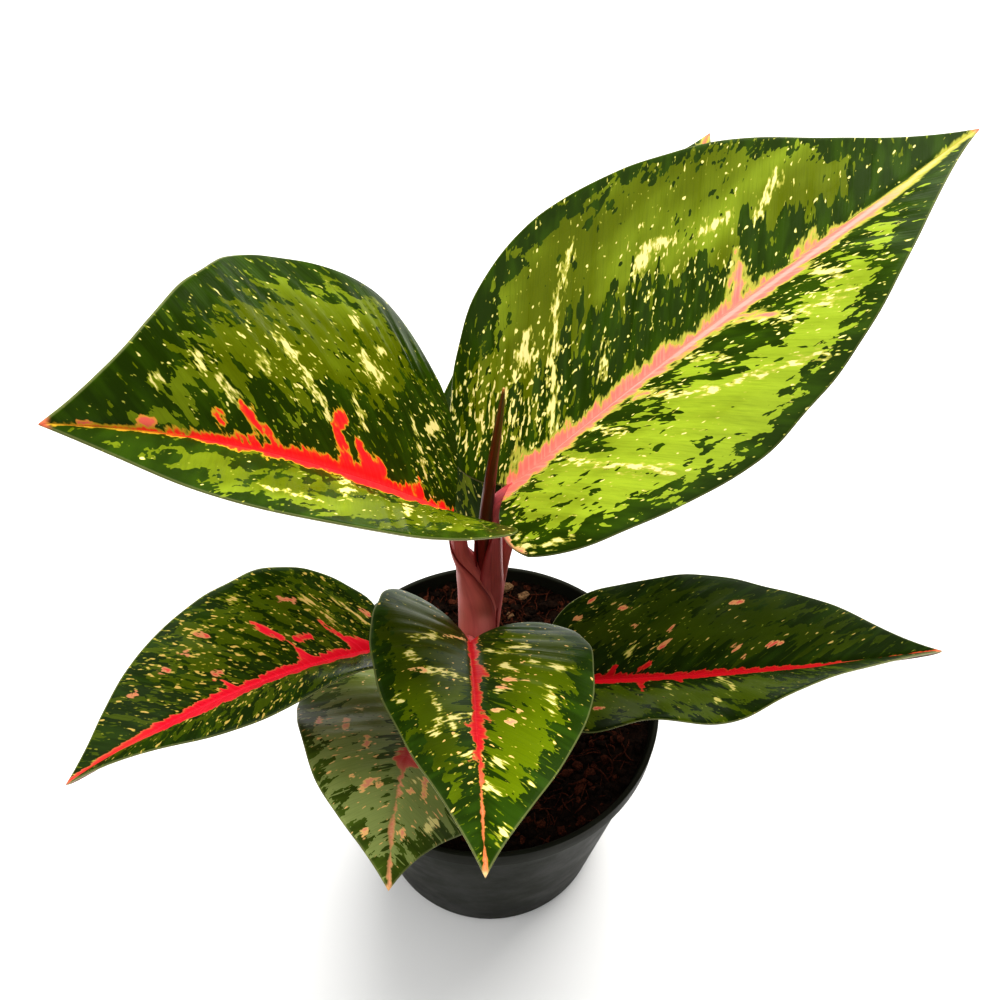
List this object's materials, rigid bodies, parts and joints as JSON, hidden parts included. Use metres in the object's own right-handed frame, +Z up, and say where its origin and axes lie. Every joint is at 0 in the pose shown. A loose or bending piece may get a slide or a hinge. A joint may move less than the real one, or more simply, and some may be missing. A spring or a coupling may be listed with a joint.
{
  "type": "potted paradise red chinese evergreen",
  "caption": "Potted aglaonema with broad pointed leaves, marbled green and cream round red midribs, on pink sheathing stalks in a plain tapered nursery pot filled with potting mix.",
  "frame": {"origin": "centre of the pot's flat underside, on the pot's axis", "axes": "+Z up along the pot's axis; the plant's front, the side in the picture, faces -Y, and +X is to the right seen from the front"},
  "size_m": [0.2369, 0.2317, 0.3092],
  "materials": {
    "pot_plastic": "satin moulded, dark green-grey",
    "potting_mix": "damp crumbly peat with bark and fibre",
    "cane_bark": "ringed with leaf scars, matt",
    "new_leaf": "satin, tightly rolled leaf",
    "leaf_stalk": "smooth satin rose pink",
    "leaf_blade": "glossy, marbled dark green, lime and cream with a red midrib"
  },
  "bodies": {
    "root": {"nursery_pot": "pot_plastic", "potting_mix": "potting_mix", "cane": "cane_bark", "new_leaf_roll": "new_leaf", "stalk_upper_right": "leaf_stalk", "stalk_upper_left": "leaf_stalk", "stalk_rear": "leaf_stalk", "stalk_front": "leaf_stalk", "stalk_lower_left": "leaf_stalk", "stalk_lower_right": "leaf_stalk", "stalk_front_left": "leaf_stalk", "blade_upper_right": "leaf_blade", "blade_upper_left": "leaf_blade", "blade_rear": "leaf_blade", "blade_front": "leaf_blade", "blade_lower_left": "leaf_blade", "blade_lower_right": "leaf_blade", "blade_front_left": "leaf_blade"}
  },
  "joints": []
}
